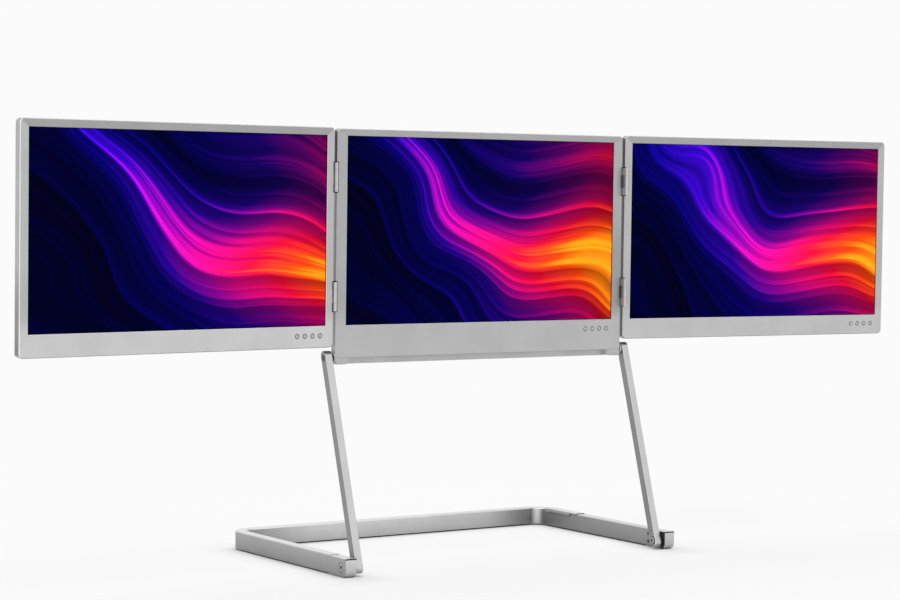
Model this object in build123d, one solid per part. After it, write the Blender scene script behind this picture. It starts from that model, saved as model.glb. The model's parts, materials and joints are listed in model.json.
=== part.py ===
from build123d import *
import os
from dataclasses import dataclass
from math import cos, radians, sin

# A three-screen extender that stands over a laptop: a U-shaped base, two leaning arms, a centre
# screen that tilts between the arms, and a wing screen hinged on each side of it.
# Millimetres. X runs to the right, Y to the back, Z up. The origin is on the desk, in the middle
# of the base.

# Picture area, the same on all three screens
picture_width = 344.2
picture_height = 193.6

# Screen cases
case_thickness = 8.5
case_corner = 5.0
case_wall = 1.6
front_lip = 1.2
edge_bevel = 0.7
seam_bevel = 0.2
window_margin = 0.6
window_bevel = 0.3
center_side_border = 13.0
center_top_border = 8.0
center_bottom_border = 34.0
wing_side_border = 10.0
wing_top_border = 8.8
wing_bottom_border = 23.0
cover_thickness = 1.2
cover_clearance = 0.15

# Inside the cases
display_thickness = 1.6
display_overlap = 2.5
inside_clearance = 0.05
tray_thickness = 2.0
tray_rim = 3.0
tray_floor = 0.8
board_length = 124.0
board_overrun = 1.5
board_height = 12.0
board_thickness = 1.2
board_standoff = 2.2
standoff_width = 2.6
standoff_inset = 2.0
chip_size = 13.0
chip_height = 0.9
speaker_length = 44.0
speaker_height = 10.0
speaker_depth = 3.6
speaker_inset = 18.0

# The cover rests on two posts at its foot, and hooks hold it along its top
post_width = 4.4
post_inset = 16.0
hook_count = 4
hook_length = 14.0
hook_reach = 1.0
hook_thickness = 0.8

# Vent slots in the covers
vent_count = 9
vent_pitch = 7.0
vent_width = 2.4
vent_height = 9.0
vent_drop = 34.0

# Buttons
button_count = 4
button_pitch = 9.6
button_inset = 6.5
button_drop = 10.6
button_radius = 2.5
button_clearance = 0.2
button_proud = 0.25
button_travel = 0.4
flange_width = 6.4
flange_thickness = 0.5
switch_size = 3.8

# Sockets
usb_width = 9.0
usb_height = 3.2
hdmi_width = 11.2
hdmi_height = 3.6
socket_depth = 6.8
socket_wall = 0.35
socket_pitch = 17.0
socket_inset = 58.0
socket_clearance = 0.12

# Wing hinges
hinge_gap = 3.0
hinge_length = 30.0
hinge_drop = 50.0
hinge_spacing = 122.5
barrel_radius = 2.1
hinge_pin_radius = 0.95
middle_knuckle = 13.6
knuckle_gap = 0.25
leaf_thickness = 1.6
leaf_reach = 8.0
notch_depth = 1.8
notch_clearance = 0.8
fold_gap = 1.0
wing_angle = 5.0

# Bottom rail and tilt brackets of the centre screen
rail_height = 7.0
rail_corner = 2.5
bracket_top_length = 18.9
bracket_foot_length = 12.4
lug_length = 13.0
lug_height = 7.0
seat_clearance = 0.15

# Arms
arm_width = 8.2
arm_thickness = 9.8
arm_length = 216.0
arm_head = 2.5
arm_tail = 2.8
arm_lean = 17.0
arm_bevel = 0.6
arm_gap = 3.5
arm_dimple_radius = 0.9
arm_dimple_depth = 1.0
arm_dimple_height = 10.5

# Pivots
tilt_pin_radius = 2.0
tilt_pin_reach = 11.0
tilt_head_radius = 3.0
tilt_head_height = 1.0
tilt_washer_radius = 4.2
tilt_boss_radius = 5.4
tilt_boss_height = 1.6
tilt_neck_width = 8.8
tilt_neck_height = 3.1
fold_pin_radius = 3.0
fold_cap_radius = 4.7
fold_cap_height = 0.9
fold_cap_proud = 0.15
fold_cap_groove = 0.4
inner_cap_radius = 3.8
inner_cap_height = 0.8
cap_bevel = 0.3
socket_head_width = 3.8
socket_head_depth = 1.6
fold_washer_radius = 4.6
running_clearance = 0.05
fixed_clearance = 0.02
side_clearance = 0.1

# Base
base_depth = 246.0
base_corner = 27.0
base_gap = 2.0
bar_width = 12.8
bar_top = 20.0
bar_bevel = 0.8
pad_thickness = 2.0
pad_sunk = 0.5
pad_width = 8.0
pad_end = 2.0
pivot_height = 10.0
pivot_setback = 9.1
block_length = 33.0
block_lower = 0.7
block_foot = 0.3
block_nose = 6.0
block_dimple_radius = 0.7
block_dimple_depth = 0.8
block_dimple_inset = 3.2
bumper_size = 1.2
tongue_length = 9.0
tongue_margin = 2.2
tongue_clearance = 0.12
base_screw_radius = 1.2
base_screw_head = 1.9
base_screw_proud = 0.4
base_screw_setback = 4.2
base_screw_spread = 8.4
catch_length = 46.0
catch_top_length = 58.0
catch_height = 3.4
catch_thickness = 0.8

# Worked-out places
center_half = picture_width / 2 + center_side_border
hinge_x = center_half + hinge_gap / 2
arm_inner = center_half + arm_gap
arm_outer = arm_inner + arm_width
base_inner = arm_outer + base_gap
base_outer = base_inner + bar_width
bar_bottom = pad_thickness - pad_sunk
fold_y = pivot_setback - base_depth / 2
tilt_y = fold_y + arm_length * sin(radians(arm_lean))
tilt_z = pivot_height + arm_length * cos(radians(arm_lean))
front_y = tilt_y - case_thickness / 2
back_y = tilt_y + case_thickness / 2
lip_y = front_y + front_lip
cover_y = back_y - cover_thickness
picture_bottom = tilt_z + center_bottom_border
picture_top = picture_bottom + picture_height
button_z = picture_bottom - button_drop
center_top = picture_top + center_top_border
hinge_heights = [center_top - hinge_drop, center_top - hinge_drop - hinge_spacing]
# The left wing folds onto the centre screen first, and the right wing folds over the left one.
left_forward = fold_gap / 2
right_forward = (case_thickness + 2 * fold_gap) / 2
board_front = lip_y + board_standoff
board_back = board_front + board_thickness


@dataclass
class Screen:
    name: str
    middle: float
    side_border: float
    top_border: float
    bottom_border: float

    @property
    def x(self):
        half = picture_width / 2 + self.side_border
        return (self.middle - half, self.middle + half)

    @property
    def z(self):
        return (picture_bottom - self.bottom_border, picture_top + self.top_border)

    @property
    def picture_x(self):
        return (self.middle - picture_width / 2, self.middle + picture_width / 2)


wing_middle = hinge_x + hinge_gap / 2 + wing_side_border + picture_width / 2
center = Screen("center", 0, center_side_border, center_top_border, center_bottom_border)
left = Screen("left", -wing_middle, wing_side_border, wing_top_border, wing_bottom_border)
right = Screen("right", wing_middle, wing_side_border, wing_top_border, wing_bottom_border)


def grow(span, amount):
    return (span[0] - amount, span[1] + amount)


def block(x, y, z):
    spans = [sorted(x), sorted(y), sorted(z)]
    middle = [(low + high) / 2 for low, high in spans]
    size = [high - low for low, high in spans]
    return Pos(*middle) * Box(*size)


def plate(x, z, y, corner):
    # A plate parallel to the screens, with round corners.
    plane = Plane(((x[0] + x[1]) / 2, y[1], (z[0] + z[1]) / 2), x_dir=(1, 0, 0), z_dir=(0, -1, 0))
    return extrude(plane * RectangleRounded(x[1] - x[0], z[1] - z[0], corner), amount=y[1] - y[0])


def rod_x(x, y, z, radius):
    low, high = sorted(x)
    return Pos((low + high) / 2, y, z) * Rot(0, 90, 0) * Cylinder(radius, high - low)


def rod_y(x, y, z, radius):
    return Pos(x, (y[0] + y[1]) / 2, z) * Rot(90, 0, 0) * Cylinder(radius, y[1] - y[0])


def rod_z(x, y, z, radius):
    return Pos(x, y, (z[0] + z[1]) / 2) * Cylinder(radius, z[1] - z[0])


def save(name, *pieces):
    shape = pieces[0] if len(pieces) == 1 else Compound(children=list(pieces))
    export_step(shape, f"parts/{name}.step")


def hinge_sides(screen):
    # Each hinged edge of a screen: the edge's x, the way into the case, the hinge axis's x and how
    # far the axis stands in front of the case.
    left_hinge = (-hinge_x, left_forward)
    right_hinge = (hinge_x, right_forward)
    return {
        "center": [(-center_half, 1, *left_hinge), (center_half, -1, *right_hinge)],
        "left": [(left.x[1], -1, *left_hinge)],
        "right": [(right.x[0], 1, *right_hinge)],
    }[screen.name]


def post_places(screen):
    inset = (case_wall + screen.side_border - window_margin - display_overlap) / 2
    return [(x, screen.z[0] + post_inset) for x in grow(screen.x, -inset)]


def button_places(screen):
    first = screen.picture_x[1] - button_inset
    return [first - button_pitch * index for index in range(button_count)]


def board_span(screen):
    end = screen.picture_x[1] + board_overrun
    return (end - board_length, end)


def socket_places(screen):
    # The mini HDMI socket comes first, then two USB-C sockets to its left.
    first = screen.picture_x[1] - socket_inset
    sizes = [(hdmi_width, hdmi_height), (usb_width, usb_height), (usb_width, usb_height)]
    return [(first - socket_pitch * index, *size) for index, size in enumerate(sizes)]


def socket_body(screen, x, width, height, grown=0.0):
    # Wing sockets open downwards through the case wall, centre sockets open backwards.
    middle_y = board_front + board_thickness / 2
    if screen is center:
        z = (button_z - height / 2, button_z + height / 2)
        return block(grow((x, x), width / 2 + grown), (board_back, back_y), grow(z, grown))
    y = grow((middle_y, middle_y), height / 2 + grown)
    body = block(grow((x, x), width / 2 + grown), y, (screen.z[0], screen.z[0] + socket_depth))
    return chamfer(body.edges().filter_by(Axis.Z), height / 4)


def case_frame(screen):
    outer = plate(screen.x, screen.z, (front_y, back_y), case_corner)
    if screen is center:
        # The foot's corners are square, where the rail's brackets carry the outline on.
        foot = (screen.z[0], screen.z[0] + 2 * case_corner)
        outer += block(screen.x, (front_y, back_y), foot)
    outline = outer.faces().sort_by(Axis.Y)[0].edges()
    if screen is center:
        outer = chamfer(outline.sort_by(Axis.Z)[1:], edge_bevel)
        foot_edge = outer.edges().filter_by(Axis.X).group_by(Axis.Z)[0].sort_by(Axis.Y)[0]
        outer = chamfer(foot_edge, seam_bevel)
    else:
        outer = chamfer(outline, edge_bevel)
    inner_corner = case_corner - case_wall
    pocket = plate(grow(screen.x, -case_wall), grow(screen.z, -case_wall), (lip_y, back_y), inner_corner)
    window_x = grow(screen.picture_x, window_margin)
    window_z = grow((picture_bottom, picture_top), window_margin)
    frame = outer - pocket - block(window_x, (front_y, lip_y), window_z)
    frame = chamfer(frame.faces().sort_by(Axis.Y)[0].inner_wires()[0].edges(), window_bevel)
    for x, z in post_places(screen):
        frame += block(grow((x, x), post_width / 2), (lip_y, cover_y), grow((z, z), post_width / 2))
    for x in grow(board_span(screen), -standoff_inset):
        half = standoff_width / 2
        z = grow((button_z, button_z), half)
        frame += block(grow((x, x), half), (lip_y, board_front), z)
    for x in button_places(screen):
        frame -= rod_y(x, (front_y - 1, lip_y), button_z, button_radius + button_clearance)
    for x in hook_places(screen):
        z = (screen.z[1] - case_wall - 1, screen.z[1] - case_wall + hook_reach + seat_clearance)
        y = (cover_y - hook_thickness - seat_clearance, cover_y)
        frame -= block(grow((x, x), hook_length / 2 + seat_clearance), y, z)
    if screen is center:
        frame -= bracket_notches()
    else:
        for place in socket_places(screen):
            frame -= socket_body(screen, *place, grown=socket_clearance)
    for edge, into, axis_x, forward in hinge_sides(screen):
        for height in hinge_heights:
            z = (height - hinge_length / 2 - notch_clearance, height + hinge_length / 2 + notch_clearance)
            frame -= block((edge - into, edge + into * notch_depth), (front_y - 1, cover_y), z)
    return frame


def bracket_notches():
    notches = []
    for side in (-1, 1):
        x = (side * (center_half - lug_length - seat_clearance), side * (center_half + 1))
        z = (tilt_z - 1, tilt_z + lug_height + seat_clearance)
        notches.append(block(x, (lip_y, cover_y - seat_clearance), z))
    return notches


def rear_cover(screen):
    inset = case_wall + cover_clearance
    cover = plate(grow(screen.x, -inset), grow(screen.z, -inset), (cover_y, back_y), case_corner - inset)
    vent_z = (screen.z[1] - vent_drop - vent_height, screen.z[1] - vent_drop)
    first = screen.middle - vent_pitch * (vent_count - 1) / 2
    for index in range(vent_count):
        x = first + vent_pitch * index
        span = (x - vent_width / 2, x + vent_width / 2)
        cover -= block(span, (cover_y, back_y), vent_z)
    if screen is center:
        for place in socket_places(screen):
            cover -= socket_body(screen, *place, grown=socket_clearance)
    for x in hook_places(screen):
        z = (screen.z[1] - case_wall - cover_clearance - hook_reach * 2, screen.z[1] - case_wall + hook_reach)
        y = (cover_y - hook_thickness, cover_y)
        cover += block(grow((x, x), hook_length / 2), y, z)
    return cover


def hook_places(screen):
    pitch = picture_width / hook_count
    return [screen.picture_x[0] + pitch * (index + 0.5) for index in range(hook_count)]


def display(screen):
    reach = window_margin + display_overlap
    y = (lip_y + inside_clearance, lip_y + inside_clearance + display_thickness)
    return block(grow(screen.picture_x, reach), y, grow((picture_bottom, picture_top), reach))


def backlight_tray(screen):
    reach = window_margin + display_overlap
    front = lip_y + 2 * inside_clearance + display_thickness
    x = grow(screen.picture_x, reach)
    z = grow((picture_bottom, picture_top), reach)
    tray = block(x, (front, front + tray_thickness), z)
    hollow_y = (front + tray_floor, front + tray_thickness)
    return tray - block(grow(x, -tray_rim), hollow_y, grow(z, -tray_rim))


def control_board(screen):
    x = board_span(screen)
    board = block(x, (board_front, board_back), (button_z - board_height / 2, button_z + board_height / 2))
    for place in button_places(screen):
        pad_x = grow((place, place), switch_size / 2)
        pad_z = grow((button_z, button_z), switch_size / 2)
        front = lip_y + inside_clearance + flange_thickness + button_travel + inside_clearance
        board += block(pad_x, (front, board_front), pad_z)
    for place in (x[0] + chip_size, x[0] + chip_size * 2.2):
        if screen is not center:
            chip_x = grow((place, place), chip_size / 2 - 1)
            chip_z = grow((button_z, button_z), board_height / 2 - 1)
            board += block(chip_x, (board_back, board_back + chip_height), chip_z)
    if screen is not center:
        for place in socket_places(screen):
            board -= socket_body(screen, *place, grown=socket_clearance)
    return board


def sockets(screen):
    shells = []
    for x, width, height in socket_places(screen):
        shell = socket_body(screen, x, width, height)
        mouth = socket_body(screen, x, width, height, grown=-socket_wall)
        inward = (0, -socket_wall, 0) if screen is center else (0, 0, socket_wall)
        shells.append(shell - Pos(-Vector(*inward)) * mouth)
    return shells


def speakers(screen):
    capsules = []
    for start in (screen.picture_x[0] + speaker_inset, screen.picture_x[0] + 2 * speaker_inset + speaker_length):
        x = (start, start + speaker_length)
        z = (button_z - speaker_height / 2, button_z + speaker_height / 2)
        capsule = block(x, (lip_y, lip_y + speaker_depth), z)
        capsules.append(chamfer(capsule.edges().filter_by(Axis.Y), 1.5))
    return capsules


def button(x):
    # A round cap with a square flange behind the front lip, which keeps it in.
    cap = rod_y(x, (front_y - button_proud, lip_y + inside_clearance), button_z, button_radius)
    flange_y = (lip_y + inside_clearance, lip_y + inside_clearance + flange_thickness)
    half = flange_width / 2
    return cap + block(grow((x, x), half), flange_y, grow((button_z, button_z), half))


def knuckle(axis_x, forward, into, z, bore):
    # One knuckle of a wing hinge, with the web that carries it back into the case.
    axis_y = front_y - forward
    leaf_back = lip_y + leaf_thickness
    piece = rod_z(axis_x, axis_y, z, barrel_radius)
    piece += block((axis_x, axis_x + into * barrel_radius), (axis_y, leaf_back), z)
    piece += block((axis_x, axis_x + into * leaf_reach / 2), (lip_y, leaf_back), z)
    return piece - rod_z(axis_x, axis_y, z, bore)


def hinge_leaf(axis_x, forward, into, height, spans, bore):
    # The leaf lies against the back of the front lip, as tall as the hinge.
    start = axis_x + into * (hinge_gap / 2 + notch_depth / 2)
    whole = (height - hinge_length / 2, height + hinge_length / 2)
    leaf = block((start, axis_x + into * leaf_reach), (lip_y, lip_y + leaf_thickness), whole)
    for span in spans:
        leaf += knuckle(axis_x, forward, into, (height + span[0], height + span[1]), bore)
    return leaf


def knuckle_spans():
    half = hinge_length / 2
    inner = middle_knuckle / 2
    fixed = [(-half, -inner - knuckle_gap), (inner + knuckle_gap, half)]
    return fixed, [(-inner, inner)]


def fixed_hinges(side):
    axis_x, forward = (side * hinge_x, left_forward if side < 0 else right_forward)
    spans = knuckle_spans()[0]
    bore = hinge_pin_radius + fixed_clearance
    return [hinge_leaf(axis_x, forward, -side, height, spans, bore) for height in hinge_heights]


def moving_hinges(side):
    axis_x, forward = (side * hinge_x, left_forward if side < 0 else right_forward)
    spans = knuckle_spans()[1]
    bore = hinge_pin_radius + running_clearance
    return [hinge_leaf(axis_x, forward, side, height, spans, bore) for height in hinge_heights]


def hinge_pins():
    pins = []
    for axis_x, forward in ((-hinge_x, left_forward), (hinge_x, right_forward)):
        for height in hinge_heights:
            z = (height - hinge_length / 2, height + hinge_length / 2)
            pins.append(rod_z(axis_x, front_y - forward, z, hinge_pin_radius))
    return pins


def bottom_rail():
    # The rail ends in slanted joints with the two tilt brackets.
    top = center_half - bracket_top_length - seat_clearance
    foot = center_half - bracket_foot_length - seat_clearance
    corners = [(-top, tilt_z), (top, tilt_z), (foot, tilt_z - rail_height), (-foot, tilt_z - rail_height)]
    plane = Plane((0, back_y, 0), x_dir=(1, 0, 0), z_dir=(0, -1, 0))
    rail = extrude(plane * Polygon(*corners, align=None), amount=case_thickness)
    front_foot = rail.edges().filter_by(Axis.X).group_by(Axis.Z)[0].sort_by(Axis.Y)[0]
    return chamfer(front_foot, edge_bevel)


def tilt_bracket(side):
    # A bracket closes the rail's end and reaches up into the case's corner to hold the pin.
    foot_z = tilt_z - rail_height
    corners = [
        (center_half, tilt_z),
        (center_half - bracket_top_length, tilt_z),
        (center_half - bracket_foot_length, foot_z),
        (center_half, foot_z),
    ]
    plane = Plane((0, back_y, 0), x_dir=(1, 0, 0), z_dir=(0, -1, 0))
    body = extrude(plane * Polygon(*corners, align=None), amount=case_thickness)
    outer_foot = body.edges().filter_by(Axis.Y).sort_by(Axis.Z)[:2].sort_by(Axis.X)[-1]
    body = fillet(outer_foot, rail_corner)
    outline = body.faces().sort_by(Axis.Y)[0].edges().filter_by(
        lambda edge: edge.center().X > center_half - bracket_foot_length and edge.center().Z < tilt_z - 0.01
    )
    body = chamfer(outline, edge_bevel)
    lug_y = (lip_y + seat_clearance, cover_y - 2 * seat_clearance)
    lug = block((center_half - lug_length, center_half), lug_y, (tilt_z, tilt_z + lug_height))
    body += fillet(lug.edges().filter_by(Axis.X).group_by(Axis.Z)[-1], 1.5)
    # A round boss stands between the case's side and the arm, on a neck below the case's edge.
    boss_x = (center_half + seat_clearance, center_half + tilt_boss_height)
    body += rod_x(boss_x, tilt_y, tilt_z, tilt_boss_radius)
    neck_y = grow((tilt_y, tilt_y), tilt_neck_width / 2)
    body += block((center_half - seat_clearance, boss_x[1]), neck_y, (tilt_z - tilt_neck_height, tilt_z))
    bore_x = (center_half - tilt_pin_reach - seat_clearance, boss_x[1])
    body -= rod_x(bore_x, tilt_y, tilt_z, tilt_pin_radius + running_clearance)
    return body if side > 0 else mirror(body, Plane.YZ)


def tilt_pin(side):
    shaft = rod_x((center_half - tilt_pin_reach, arm_outer), tilt_y, tilt_z, tilt_pin_radius)
    head = rod_x((arm_outer - tilt_head_height, arm_outer), tilt_y, tilt_z, tilt_head_radius)
    pin = shaft + head
    return pin if side > 0 else mirror(pin, Plane.YZ)


def washer(x, y, z, radius, hole):
    ring = rod_x(x, y, z, radius) - rod_x(x, y, z, hole)
    return ring, mirror(ring, Plane.YZ)


def arm(side):
    length_plane = Plane((arm_inner, fold_y, pivot_height), x_dir=(0, 1, 0), z_dir=(1, 0, 0))
    reach = arm_tail + arm_length + arm_head
    outline = Rot(0, 0, 90 - arm_lean) * Pos(reach / 2 - arm_tail, 0) * SlotCenterToCenter(reach, arm_thickness)
    bar = extrude(length_plane * outline, amount=arm_width)
    rims = bar.faces().filter_by(Axis.X).edges()
    bar = chamfer(rims, arm_bevel)
    bar -= rod_x((arm_inner, arm_outer), fold_y, pivot_height, fold_pin_radius + running_clearance)
    bar -= rod_x((arm_inner, arm_outer), tilt_y, tilt_z, tilt_pin_radius + fixed_clearance)
    recess = tilt_head_height + fixed_clearance
    bar -= rod_x((arm_outer - recess, arm_outer), tilt_y, tilt_z, tilt_head_radius + side_clearance)
    dimple_y = fold_y + arm_dimple_height * sin(radians(arm_lean))
    dimple_z = pivot_height + arm_dimple_height * cos(radians(arm_lean))
    bar -= rod_x((arm_inner, arm_inner + arm_dimple_depth), dimple_y, dimple_z, arm_dimple_radius)
    return bar if side > 0 else mirror(bar, Plane.YZ)


def base_outline(half_width, front, rear, corner):
    outline = Pos(0, (front + rear) / 2) * Rectangle(2 * half_width, rear - front)
    return fillet(outline.vertices().group_by(Axis.Y)[-1], corner)


def block_spans():
    return (base_inner, base_outer), (-base_depth / 2, -base_depth / 2 + block_length)


def base_frame():
    rear = base_depth / 2
    seam = block_spans()[1][1]
    outer = base_outline(base_outer, seam, rear, base_corner)
    inner = base_outline(base_inner, seam - 1, rear - bar_width, base_corner - bar_width)
    frame = extrude(Pos(0, 0, bar_bottom) * (outer - inner), amount=bar_top - bar_bottom)
    top_edges = frame.faces().sort_by(Axis.Z)[-1].edges().filter_by(lambda edge: edge.center().Y > seam + 1)
    frame = chamfer(top_edges, bar_bevel)
    for side in (-1, 1):
        frame += tongue(side, 0.0)
        for y, z in base_screw_places():
            hole = (side * base_inner, side * (base_inner + bar_width / 2))
            frame -= rod_x(hole, y, z, base_screw_radius + fixed_clearance)
    for pad in foot_pads(fixed_clearance):
        frame -= pad
    return frame


def tongue(side, grown):
    # The bar's end carries a tongue that plugs into the hinge block.
    x, y = block_spans()
    tongue_x = grow((x[0] + tongue_margin, x[1] - tongue_margin), grown)
    tongue_z = grow((bar_bottom + tongue_margin, bar_top - block_lower - tongue_margin), grown)
    piece = block(tongue_x, (y[1] - tongue_length - grown, y[1]), tongue_z)
    return piece if side > 0 else mirror(piece, Plane.YZ)


def base_screw_places():
    y = block_spans()[1][1] - base_screw_setback
    return [(y, pivot_height - base_screw_spread / 2), (y, pivot_height + base_screw_spread / 2)]


def hinge_block(side):
    x, y = block_spans()
    top = bar_top - block_lower
    body = block(x, y, (block_foot, top))
    front_edges = body.edges().filter_by(Axis.X).group_by(Axis.Y)[0].sort_by(Axis.Z)
    body = fillet(front_edges[0], block_nose)
    body -= bumper_strip(fixed_clearance)
    body -= tongue(1, tongue_clearance)
    body -= rod_x(x, fold_y, pivot_height, fold_pin_radius + fixed_clearance)
    seat = (base_outer - fold_cap_height + fold_cap_proud - fixed_clearance, base_outer)
    body -= rod_x(seat, fold_y, pivot_height, fold_cap_radius + fold_cap_groove)
    dimple_x = (base_outer - block_dimple_depth, base_outer)
    body -= rod_x(dimple_x, y[0] + block_dimple_inset, top - block_dimple_inset, block_dimple_radius)
    for screw_y, screw_z in base_screw_places():
        hole = (base_inner, base_inner + bar_width / 2)
        body -= rod_x(hole, screw_y, screw_z, base_screw_radius + fixed_clearance)
    return body if side > 0 else mirror(body, Plane.YZ)


def bumper_strip(grown=0.0):
    # A rubber strip let into the block's top front edge, where the folded screens come to rest.
    x, y = block_spans()
    top = bar_top - block_lower
    return block(x, (y[0], y[0] + bumper_size + grown), (top - bumper_size - grown, top))


def fold_pin(side):
    # The outer cap lies in a round seat in the block, and the inner cap holds the arm on.
    outer_end = base_outer + fold_cap_proud
    inner_end = arm_inner - side_clearance - inner_cap_height
    shaft = rod_x((inner_end, outer_end), fold_y, pivot_height, fold_pin_radius)
    outer_cap = rod_x((outer_end - fold_cap_height, outer_end), fold_y, pivot_height, fold_cap_radius)
    outer_cap = chamfer(outer_cap.faces().sort_by(Axis.X)[-1].edges(), cap_bevel)
    inner_cap = rod_x((inner_end, inner_end + inner_cap_height), fold_y, pivot_height, inner_cap_radius)
    inner_cap = chamfer(inner_cap.faces().sort_by(Axis.X)[0].edges(), cap_bevel)
    pin = shaft + outer_cap + inner_cap
    hexagon = RegularPolygon(socket_head_width / 2, 6, major_radius=False)
    for end, way in ((outer_end, -1), (inner_end, 1)):
        mouth = Plane((end, fold_y, pivot_height), x_dir=(0, 1, 0), z_dir=(way, 0, 0))
        pin -= extrude(mouth * hexagon, amount=socket_head_depth)
    return pin if side > 0 else mirror(pin, Plane.YZ)


def base_screws():
    screws = []
    for side in (-1, 1):
        for y, z in base_screw_places():
            shaft = rod_x((side * base_inner, side * (base_inner + bar_width / 2)), y, z, base_screw_radius)
            head = rod_x((side * (base_inner - base_screw_proud), side * base_inner), y, z, base_screw_head)
            screws.append(shaft + head)
    return screws


def catch_strip(side):
    # A thin strip along the bar's inner face, where the folded arm's head comes down. The right
    # one is folded over the bar's top as well.
    rear = base_depth / 2 - base_corner
    x = (base_inner - catch_thickness, base_inner)
    top = bar_top - bar_bevel
    body = block(x, (rear - catch_length, rear), (top - catch_height, top))
    front_foot = body.edges().filter_by(Axis.X).sort_by(Axis.Y)[:2].sort_by(Axis.Z)[0]
    body = fillet(front_foot, catch_height / 2)
    if side < 0:
        return mirror(body, Plane.YZ)
    over_x = (base_inner - catch_thickness, base_outer - bar_bevel)
    body += block(over_x, (rear - catch_top_length, rear), (bar_top, bar_top + catch_thickness))
    body += block(x, (rear - catch_length, rear), (top, bar_top + catch_thickness))
    return body


def foot_pads(grown=0.0):
    middle = (base_inner + base_outer) / 2
    x = grow((middle, middle), pad_width / 2 + grown)
    y = grow((block_spans()[1][1] + pad_end, base_depth / 2 - base_corner - pad_end), grown)
    z = (0, pad_thickness + grown)
    right_pad = block(x, y, z)
    rear_y = base_depth / 2 - bar_width / 2
    rear_x = base_outer - base_corner - pad_end
    rear_pad = block(grow((-rear_x, rear_x), grown), grow((rear_y, rear_y), pad_width / 2 + grown), z)
    return [mirror(right_pad, Plane.YZ), right_pad, rear_pad]


def save_screen(screen, swing):
    # Everything that one screen carries, turned by the angle that its hinge stands at.
    axis_x, forward = {"left": (-hinge_x, left_forward), "right": (hinge_x, right_forward)}.get(
        screen.name, (0, 0)
    )
    axis = Axis((axis_x, front_y - forward, 0), (0, 0, 1))
    pieces = {
        "frame": [case_frame(screen)],
        "rear_cover": [rear_cover(screen)],
        "display": [display(screen)],
        "backlight_tray": [backlight_tray(screen)],
        "control_board": [control_board(screen)],
        "sockets": sockets(screen),
        "speakers": speakers(screen),
    }
    for number, x in enumerate(reversed(button_places(screen)), start=1):
        pieces[f"button_{number}"] = [button(x)]
    if screen is left:
        pieces["hinge_leaves"] = moving_hinges(-1)
    if screen is right:
        pieces["hinge_leaves"] = moving_hinges(1)
    for name, solids in pieces.items():
        turned = [solid.rotate(axis, swing) if swing else solid for solid in solids]
        save(f"{screen.name}_{name}", *turned)


os.makedirs("parts", exist_ok=True)
save_screen(center, 0)
save_screen(left, wing_angle)
save_screen(right, -wing_angle)
save("center_hinges_left", *fixed_hinges(-1))
save("center_hinges_right", *fixed_hinges(1))
save("wing_hinge_pins", *hinge_pins())
save("bottom_rail", bottom_rail())
for side_name, side in (("left", -1), ("right", 1)):
    save(f"tilt_bracket_{side_name}", tilt_bracket(side))
    save(f"arm_{side_name}", arm(side))
    save(f"hinge_block_{side_name}", hinge_block(side))
    save(f"catch_strip_{side_name}", catch_strip(side))
save("tilt_pins", tilt_pin(-1), tilt_pin(1))
save("tilt_washers", *washer(
    (center_half + tilt_boss_height + side_clearance, arm_inner - side_clearance), tilt_y, tilt_z,
    tilt_washer_radius, tilt_pin_radius + running_clearance))
save("base_frame", base_frame())
save("fold_pins", fold_pin(-1), fold_pin(1))
save("fold_washers", *washer(
    (arm_outer + side_clearance, base_inner - side_clearance), fold_y, pivot_height,
    fold_washer_radius, fold_pin_radius + running_clearance))
save("base_screws", *base_screws())
save("block_bumpers", mirror(bumper_strip(), Plane.YZ), bumper_strip())
for pad_name, pad in zip(("left", "right", "rear"), foot_pads()):
    save(f"foot_pad_{pad_name}", pad)

print("base pivot", round(fold_y, 3), pivot_height)
print("tilt pivot", round(tilt_y, 3), round(tilt_z, 3))
print("left hinge axis", -hinge_x, round(front_y - left_forward, 3))
print("right hinge axis", hinge_x, round(front_y - right_forward, 3))
print("base inner and outer half width", base_inner, base_outer)
print("front of the cases", round(front_y, 3), "picture bottom", round(picture_bottom, 3))
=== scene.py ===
import json
from math import cos, pi, radians, sin

import bpy
from mathutils import Matrix, Vector


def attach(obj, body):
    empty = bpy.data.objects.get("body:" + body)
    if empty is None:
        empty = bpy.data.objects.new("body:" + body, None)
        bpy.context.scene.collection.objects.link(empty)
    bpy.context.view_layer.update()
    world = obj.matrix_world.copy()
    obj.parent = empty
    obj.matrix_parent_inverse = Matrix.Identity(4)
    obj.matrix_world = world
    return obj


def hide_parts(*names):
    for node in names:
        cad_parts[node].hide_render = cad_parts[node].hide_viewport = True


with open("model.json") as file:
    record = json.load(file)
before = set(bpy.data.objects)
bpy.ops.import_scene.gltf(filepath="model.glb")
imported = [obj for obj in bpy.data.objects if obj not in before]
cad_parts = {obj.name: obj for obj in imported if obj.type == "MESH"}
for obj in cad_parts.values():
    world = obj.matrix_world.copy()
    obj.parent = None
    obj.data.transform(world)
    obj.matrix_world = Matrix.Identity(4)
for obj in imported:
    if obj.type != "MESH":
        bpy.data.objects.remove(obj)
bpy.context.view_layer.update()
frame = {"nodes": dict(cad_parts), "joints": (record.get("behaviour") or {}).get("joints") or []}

cadNodes = frame["nodes"]
scene = bpy.context.scene
scene.view_settings.view_transform = "Standard"
bpy.ops.object.select_all(action="DESELECT")
print("frame loaded,", len(cadNodes), "nodes")

# Camera

cameraValues = {
    "place": (-1.5208, -2.2286, 0.3935),  # metres
    "turnRight": 34.2,  # degrees from straight ahead
    "lookDown": 2.6,
    "roll": 0.765,
    "lens": 99.47,  # millimetres, as is the sensor
    "sensor": 36,
    "farthest": 50,  # metres
}


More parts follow.
